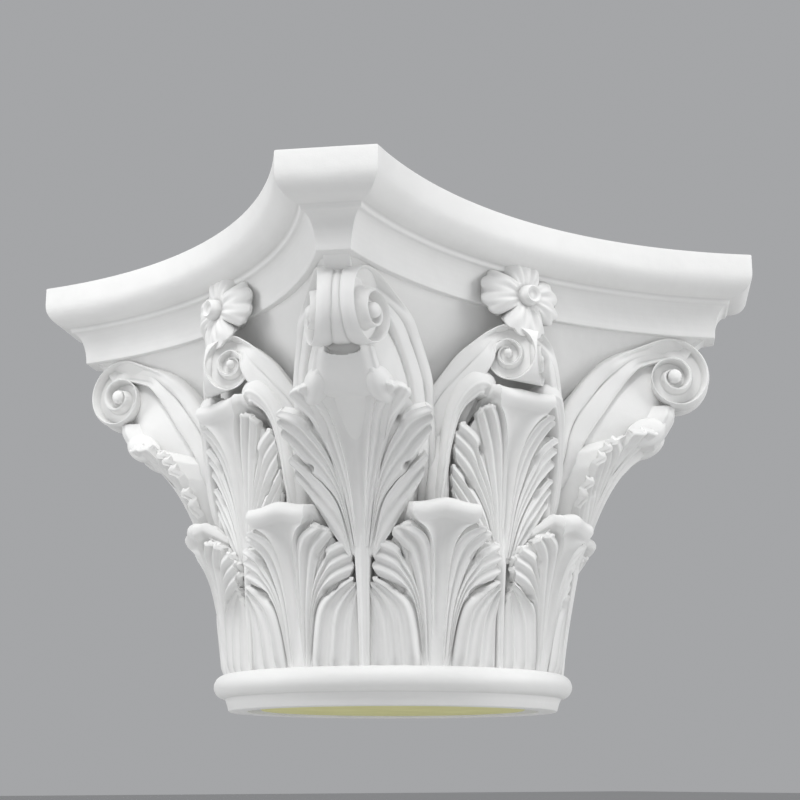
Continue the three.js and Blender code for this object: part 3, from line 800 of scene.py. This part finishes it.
def add_scroll(piece, kind, angle):
    """A pair of mirrored scrolls with their bands: plates, walls between them and buttons."""
    last = last_step(kind)
    turning = np.arange(0, last + 1).astype(float)
    step = np.concatenate([np.arange(-BAND_STEPS, 0), turning])[:, None]
    outer = np.concatenate([band_edge(kind, 0.0, kind["outer"]),
                            on_plate(kind, on_spiral(kind, turning))])
    inner = np.concatenate([band_edge(kind, float(STEPS_PER_TURN), kind["inner"]),
                            on_plate(kind, on_spiral(kind, turning + STEPS_PER_TURN))])
    across = np.linspace(0, 1, PLATE_SAMPLES)[None, :]
    plate_normal = np.array([math.sin(kind["splay"]), math.cos(kind["splay"]), 0])
    travel = np.gradient((outer + inner) / 2, axis=0)
    normal = unit(np.cross(travel, inner - outer))
    normal = normal * np.sign(normal @ plate_normal)[:, None]
    normal = lerp(plate_normal, normal, smooth(-step, 0, BAND_JOIN_STEPS))
    plate = lerp(outer[:, None], inner[:, None], across[..., None])
    plate = plate + normal[:, None] * groove_profile(kind, across, step)[..., None]
    apart = smooth(-step, 0, BAND_JOIN_STEPS)
    middle = np.array([1, 0, 1])
    outer_back = lerp(plate[:, 0] * middle, plate[:, 0] - kind["depth"] * normal, apart)
    inner_back = lerp(plate[:, -1] * middle, plate[:, -1] - kind["depth"] * normal, apart)
    from_back = np.linspace(0, 1, WALL_SAMPLES)
    turn_end = BAND_STEPS + STEPS_PER_TURN + 1
    front_wall = lerp(outer_back[:turn_end, None], plate[:turn_end, :1], from_back[None, :, None])
    front_wall = front_wall + front_relief(kind, outer, step, from_back)[:turn_end]
    band = slice(0, BAND_STEPS + 1)
    inner_wall = lerp(plate[band, -1:], inner_back[band, None], from_back[None, :, None])
    back_wall = np.stack([inner_back[band], outer_back[band]], axis=1)
    root = np.concatenate([front_wall[0], plate[0, 1:], inner_wall[0, 1:]])
    for sign in (1, -1):
        for grid in (plate, front_wall, inner_wall, back_wall):
            out, side, height = np.moveaxis(grid, -1, 0)
            piece.quads(piece.place(beside(out, sign * side, angle, height)))
        loop = piece.place(beside(root[:, 0], sign * root[:, 1], angle, root[:, 2]))
        hub = root.mean(axis=0)
        piece.fan(loop, beside(hub[0], sign * hub[1], angle, hub[2]))
        add_eye(piece, kind, angle, sign)


def add_eye(piece, kind, angle, sign):
    """A round button at the middle of the scroll."""
    swing = np.linspace(0, TURN, 32, endpoint=False)
    size = kind["eye"]
    base = -kind["recess"] - SCROLL_BUTTON[-1][1] + SCROLL_BUTTON_LIFT * size
    rings = []
    for share, rise in SCROLL_BUTTON:
        flat = np.stack([kind["centre"][0] + size * share * np.cos(swing),
                         kind["centre"][1] + size * share * np.sin(swing)], axis=-1)
        out, side, height = np.moveaxis(on_plate(kind, flat), -1, 0)
        out = out + (base + rise) * math.sin(kind["splay"])
        side = side + (base + rise) * math.cos(kind["splay"])
        rings.append(beside(out, sign * side, angle, height))
    piece.tube(np.array(rings))


def rounded_section(back, reach, half_width, corner, power=1):
    """Half a plan section, from one side round the front to the other, with rounded corners."""
    swing = np.linspace(-QUARTER, QUARTER, SECTION_SAMPLES)
    side = half_width * np.sign(np.sin(swing)) * np.abs(np.sin(swing))**power
    out = reach - corner * (1 - np.abs(np.cos(swing))**power)
    return np.concatenate([[back], out, [back]]), np.concatenate([[-half_width], side, [half_width]])


def add_loft(piece, levels, back, corner, angle):
    """A form that rises through its levels, with a rounded front and a flat back."""
    rings = []
    for share in np.linspace(0, 1, LOFT_ROWS):
        reach, half_width, height = through(levels, np.array(share))
        out, side = rounded_section(back, reach, half_width, corner)
        rings.append(beside(out, side, angle, height))
    piece.tube(np.array(rings))


def add_block(piece, angle):
    """The small square block between a corner scroll and the slab."""
    rings = []
    for reach, half_width, height in BLOCK_LEVELS:
        out, side = rounded_section(CORE_INNER_RADIUS, reach, half_width, BLOCK_CORNER,
                                    BLOCK_SQUARENESS)
        rings.append(beside(out, side, angle, height))
    piece.tube(np.array(rings))


def add_pad(piece, angle):
    """The pad under a corner scroll, with a raised edge at each side and a deep slot at its top."""
    share = np.linspace(0, 1, PAD_ROWS)
    reach, half_width, height = (x[:, None] for x in through(PAD_LEVELS, share).T)
    across = np.linspace(-1, 1, PAD_SAMPLES)[None, :]
    off = np.abs(across)
    in_slot = 1 - smooth(off, PAD_SLOT["half_width"] - 0.08, PAD_SLOT["half_width"] + 0.1)
    slot_floor = PAD_SLOT["height"] + PAD_SLOT["floor_rise"] * off**3
    above = smooth(height, slot_floor, slot_floor + PAD_SLOT["blend"])
    slot = PAD_SLOT["depth"] * in_slot * above
    edge = ripple(off, *PAD_EDGE_RIPPLE) - ripple(off, *PAD_HOLLOW_RIPPLE)
    out = reach + edge - PAD_CROWN * off**5 - slot
    front = beside(out, half_width * across, angle, height + 0 * across)
    spread = 1.02 - 0.17 * smooth(share[:, None], 0, 1)
    back = beside(PAD_BACK_RADIUS, spread * half_width * across, angle, height + 0 * across)
    grid = np.concatenate([back[:, :1], front, back[:, -1:]], axis=1)
    back = np.concatenate([back[:, :1], back, back[:, -1:]], axis=1)
    piece.sheet(np.concatenate([back[:1], grid, back[-1:]]))


def add_sheath(piece, angle, sign):
    """A smooth leaf that arches from its stem over the face leaf and curls under the scroll."""
    along = np.linspace(0, 1, SHEATH_ROWS)
    degrees, radius, height = through(SHEATH_PATH, along).T
    centre = np.stack([np.radians(degrees) * radius, height], axis=-1)
    way = unit(np.gradient(centre, axis=0))
    normal = np.stack([way[:, 1], -way[:, 0]], axis=-1)
    across = np.linspace(-1, 1, SHEATH_SAMPLES)
    width = lerp(*SHEATH_HALF_WIDTH, smooth(along, 0.3, 0.8))
    width = np.maximum(width * np.sqrt(np.clip(12 * (1 - along), 0, 1)), 0.6)
    scallop = np.abs(np.sin(math.pi * along * SHEATH_SCALLOPS)) * smooth(along, 0.5, 0.6)
    scallop = 1 + SHEATH_SCALLOP_DEPTH * scallop
    reach = width[:, None] * across[None, :] * np.where(across > 0, 1, scallop[:, None])
    place = centre[:, None] + reach[..., None] * normal[:, None]
    ridge = SHEATH_RISE - SHEATH_CROWN * np.abs(across)**2.4
    ridge = ridge + ripple(across, *SHEATH_RIB_RIPPLE) + ripple(across, *SHEATH_RIM_RIPPLE)
    top = radius[:, None] + ridge[None, :] * smooth(along, 0, 0.12)[:, None]
    swing = angle + sign * place[..., 0] / radius[:, None]
    grid = around(top, swing, place[..., 1])
    deep = around(radius[:, None] - SHEATH_DEPTH, swing, place[..., 1])
    grid = np.concatenate([deep[:, :1], grid, deep[:, -1:]], axis=1)
    inner = np.concatenate([deep[:, :1], deep, deep[:, -1:]], axis=1)
    piece.sheet(np.concatenate([inner[:1], grid, inner[-1:]]))


def add_flower(piece, angle):
    """A flower on the slab's edge, as rings from its button over its petals to its stalk."""
    turn = np.linspace(0, 1, FLOWER_SIDES, endpoint=False)
    in_petal = (turn * PETALS) % 1
    from_middle = np.abs(2 * in_petal - 1)
    outline = lerp(PETAL_GAP, 1, np.sin(math.pi * in_petal)**0.42)
    outline = outline - ripple(from_middle, *PETAL_TIP_RIPPLE)
    outline = PETAL_LENGTH * (outline - ripple(from_middle, *PETAL_WAIST_RIPPLE))
    swing = TURN * turn + math.pi / PETALS
    hang = PETAL_HANG * np.clip(-np.sin(swing), 0, 1)**3

    def ring(out, radius):
        height = FLOWER_HEIGHT + radius * np.sin(swing) * np.where(np.sin(swing) < 0, PETAL_LOW, 1)
        return beside(out + np.zeros_like(radius), radius * np.cos(swing), angle, height)

    rings = []
    for radius, rise in BUTTON:
        rings.append(ring(FLOWER_RADIUS + rise, np.full_like(turn, radius)))
    ridges = np.cos(4 * math.pi * (2 * in_petal - 1))
    for share in np.linspace(0.06, 1, PETAL_ROWS):
        radius = lerp(BUTTON_RADIUS + 0.6, outline, share)
        cup = PETAL_CUP * math.sin(math.pi * share) - PETAL_FALL * share**2
        fold = PETAL_RIDGE * ridges * math.sin(math.pi * share)
        gap = ripple(from_middle, *PETAL_CLEFT_RIPPLE) * share
        notch = ripple(from_middle, *PETAL_NOTCH_RIPPLE) * share
        rings.append(ring(FLOWER_RADIUS - 1 + cup + fold + gap + notch + hang * share**2, radius))
    for drop, shrink, roundness in PETAL_BACK:
        rings.append(ring(FLOWER_RADIUS - PETAL_FALL - 1 - drop + hang * (1 - roundness),
                          lerp(outline * shrink, STALK_RADIUS, roundness)))
    rings.append(ring(FLOWER_BACK_RADIUS, np.full_like(turn, STALK_RADIUS)))
    piece.tube(np.array(rings))


def add_foam_disc(piece):
    """The cut face of the foam inside the ring's groove."""
    angle = np.linspace(0, TURN, FOAM_SIDES, endpoint=False)
    profile = [[0.5, GROOVE_DEPTH + 1], [GROOVE_INNER_RADIUS - 0.1, GROOVE_DEPTH + 1],
               [GROOVE_INNER_RADIUS, FOAM_FACE_RISE + 0.8]]
    profile += [[radius, FOAM_FACE_RISE]
                for radius in np.linspace(GROOVE_INNER_RADIUS - 1, 1, FOAM_ROWS)]
    piece.tube(np.array([around(radius, angle, height) for radius, height in profile]))


def node(tree, kind, **values):
    made = tree.nodes.new(kind)
    for name, value in values.items():
        made.inputs[name].default_value = value
    return made


def texture(tree, kind, **values):
    """A texture node laid out in the object's own coordinates."""
    made = node(tree, kind, **values)
    place = tree.nodes.new("ShaderNodeTexCoord")
    tree.links.new(place.outputs["Object"], made.inputs["Vector"])
    return made


def noise(tree, scale, detail, roughness=0.5):
    return texture(tree, "ShaderNodeTexNoise", Scale=scale, Detail=detail, Roughness=roughness)


def ramp(tree, source, stops):
    made = tree.nodes.new("ShaderNodeValToRGB")
    elements = made.color_ramp.elements
    elements[0].position, elements[0].color = stops[0][0], (*stops[0][1], 1)
    elements[1].position, elements[1].color = stops[-1][0], (*stops[-1][1], 1)
    for position, colour in stops[1:-1]:
        elements.new(position).color = (*colour, 1)
    tree.links.new(source, made.inputs["Fac"])
    return made


def grey(value):
    """A grey with the least touch of warmth."""
    return (value, value, value * 0.995)


def bumps(tree, layers):
    """A chain of bumps, each (height output, distance in metres)."""
    normal = None
    for height, distance in layers:
        made = node(tree, "ShaderNodeBump", Strength=1.0, Distance=distance)
        tree.links.new(height, made.inputs["Height"])
        if normal is not None:
            tree.links.new(normal, made.inputs["Normal"])
        normal = made.outputs["Normal"]
    return normal


def new_material(name, specular):
    """A new material, its node tree and its shader."""
    material = bpy.data.materials.new(name)
    material.use_nodes = True
    tree = material.node_tree
    shader = tree.nodes["Principled BSDF"]
    shader.inputs["Specular IOR Level"].default_value = specular
    return material, tree, shader


def primed_foam():
    """Matt white primer over cast foam: faint cloudiness, painted shade in hollows, soft casting
    waves and fine tooth.
    """
    material, tree, shader = new_material("primed_foam", 0.35)
    cloud = noise(tree, 14, 5)
    tint = ramp(tree, cloud.outputs["Fac"], [(0.3, grey(0.79)), (0.7, grey(0.84))])
    # Painted shade: where Pointiness is low, in hollows and creases, the base colour is multiplied
    # down to 0.7 grey
    geometry = tree.nodes.new("ShaderNodeNewGeometry")
    painted_hollow_shade = ramp(tree, geometry.outputs["Pointiness"], [(0.42, grey(0.7)), (0.5, grey(1.0))])
    mix = tree.nodes.new("ShaderNodeMix")
    mix.data_type = "RGBA"
    mix.blend_type = "MULTIPLY"
    mix.inputs["Factor"].default_value = 1
    tree.links.new(tint.outputs["Color"], mix.inputs["A"])
    tree.links.new(painted_hollow_shade.outputs["Color"], mix.inputs["B"])
    tree.links.new(mix.outputs["Result"], shader.inputs["Base Color"])
    patch = noise(tree, 60, 3)
    gloss = ramp(tree, patch.outputs["Fac"], [(0.3, grey(0.46)), (0.75, grey(0.62))])
    tree.links.new(gloss.outputs["Color"], shader.inputs["Roughness"])
    wave = noise(tree, 45, 2)
    tooth = noise(tree, 900, 3, 0.6)
    normal = bumps(tree, [(wave.outputs["Fac"], 0.0009), (tooth.outputs["Fac"], 0.00008)])
    tree.links.new(normal, shader.inputs["Normal"])
    return material


def bare_foam():
    """Cut face of the foam: pale yellow green, open fine cells."""
    material, tree, shader = new_material("bare_foam", 0.2)
    cloud = noise(tree, 30, 6)
    tint = ramp(tree, cloud.outputs["Fac"], [(0.3, (0.7, 0.68, 0.33)), (0.7, (0.8, 0.78, 0.42))])
    tree.links.new(tint.outputs["Color"], shader.inputs["Base Color"])
    cells = texture(tree, "ShaderNodeTexVoronoi", Scale=900)
    gloss = ramp(tree, cloud.outputs["Fac"], [(0.3, grey(0.75)), (0.7, grey(0.9))])
    tree.links.new(gloss.outputs["Color"], shader.inputs["Roughness"])
    normal = bumps(tree, [(cells.outputs["Distance"], 0.0003), (cloud.outputs["Fac"], 0.0008)])
    tree.links.new(normal, shader.inputs["Normal"])
    return material


def plain(name, colour):
    material, _, shader = new_material(name, 0.1)
    shader.inputs["Base Color"].default_value = (*colour, 1)
    shader.inputs["Roughness"].default_value = 0.9
    return material


def build_capital():
    primer = primed_foam()
    quarters = [k * QUARTER for k in range(4)]
    body = Piece("bell_and_ring")
    add_bell(body)
    add_ring(body)
    made = [body.finish(primer, "primed_foam", 40)]
    top = Piece("slab")
    add_slab(top)
    top.finish(primer, "primed_foam", 30)
    for name, turn in (("lower_leaves_left", 1 / 4), ("lower_leaves_right", 3 / 4)):
        lower = Piece(name)
        for angle in quarters:
            add_leaf(lower, LOWER_LEAF, angle + QUARTER * turn)
        lower.finish(primer, "primed_foam")
    carved = [Piece(name) for name in ("face_leaves", "corner_leaves", "corner_scrolls", "horn_cores",
                                       "face_scrolls", "sheath_leaves", "face_flowers")]
    faces, corners, scrolls, cores, helices, sheaths, flowers = carved
    for angle in quarters:
        corner = angle + QUARTER / 2
        add_leaf(faces, FACE_LEAF, angle)
        add_stem(faces, FACE_LEAF, FACE_STEM, angle)
        add_leaf(corners, CORNER_LEAF, corner)
        add_stem(corners, CORNER_LEAF, CORNER_STEM, corner)
        add_scroll(scrolls, CORNER_SCROLL, corner)
        add_loft(cores, CORE_LEVELS, CORE_INNER_RADIUS, CORE_TAPER, corner)
        add_block(cores, corner)
        add_pad(cores, corner)
        add_scroll(helices, FACE_SCROLL, angle)
        add_sheath(sheaths, angle, 1)
        add_sheath(sheaths, angle, -1)
        for side in (-1, 1):
            way = corner + side * QUARTER / 4
            add_loft(sheaths, CAULIS_LEVELS, CAULIS_BACK_RADIUS, CAULIS_CORNER, way)
        add_flower(flowers, angle)
    for piece in carved:
        piece.finish(primer, "primed_foam")
    disc = Piece("bare_foam_face")
    add_foam_disc(disc)
    disc.finish(bare_foam(), "primed_foam")
    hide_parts("capital")


# The set and the camera are in metres
FLOOR_HEIGHT = -0.3
FLOOR_SIZE = 20
FLOOR_COLOUR = (0.62, 0.62, 0.62)


def build_stage():
    """A plain pale floor below the capital, which hangs free as in the photo."""
    mesh = bpy.data.meshes.new("studio_floor")
    work = bmesh.new()
    bmesh.ops.create_grid(work, x_segments=1, y_segments=1, size=FLOOR_SIZE)
    work.to_mesh(mesh)
    work.free()
    floor = bpy.data.objects.new("studio_floor", mesh)
    floor.location = (0, 0, FLOOR_HEIGHT)
    mesh.materials.append(plain("studio_grey", FLOOR_COLOUR))
    bpy.context.scene.collection.objects.link(floor)


CAMERA_PLACE = (-0.6415, -0.8756, -0.044)
CAMERA_WAY = math.radians(53.51)
CAMERA_PITCH = math.radians(14.01)
LENS = 68.0

# Lamps: degrees from the camera's bearing, height, distance, size and watts
LAMPS = {
    "top": (-10, 1.5, 1.1, 0.9, 20),
    "left": (-85, 0.5, 1.5, 0.8, 8),
    "right": (80, 0.5, 1.5, 0.8, 9),
    "low": (0, -0.25, 1.8, 1.0, 4.5),
}
AIM_HEIGHT = 0.18
SKY_COLOUR = (0.75, 0.76, 0.78, 1)
SKY_STRENGTH = 0.5


def look(way, pitch):
    """Rotation for a camera or lamp that looks along a heading and a pitch."""
    return (QUARTER + pitch, 0, way - QUARTER)


def build_camera():
    data = bpy.data.cameras.new("camera")
    data.lens = LENS
    data.sensor_width = 36
    data.clip_start = 0.01
    camera = bpy.data.objects.new("camera", data)
    camera.location = CAMERA_PLACE
    camera.rotation_euler = look(CAMERA_WAY, CAMERA_PITCH)
    bpy.context.scene.collection.objects.link(camera)
    bpy.context.scene.camera = camera


def lamp(name, bearing, height, distance, size, power):
    """A soft area lamp at a bearing from the camera's own, aimed at the capital."""
    data = bpy.data.lights.new(name, "AREA")
    data.energy = power
    data.size = size
    way = CAMERA_WAY + math.pi + math.radians(bearing)
    placed = bpy.data.objects.new(name, data)
    placed.location = (distance * math.cos(way), distance * math.sin(way), height)
    placed.rotation_euler = look(way + math.pi, -math.atan2(height - AIM_HEIGHT, distance))
    bpy.context.scene.collection.objects.link(placed)


def build_light():
    world = bpy.data.worlds.new("studio")
    world.use_nodes = True
    sky = world.node_tree.nodes["Background"]
    sky.inputs["Color"].default_value = SKY_COLOUR
    sky.inputs["Strength"].default_value = SKY_STRENGTH
    bpy.context.scene.world = world
    for name, values in LAMPS.items():
        lamp(name, *values)
    bpy.context.scene.view_settings.view_transform = "Standard"


build_camera()
build_stage()
build_light()
build_capital()
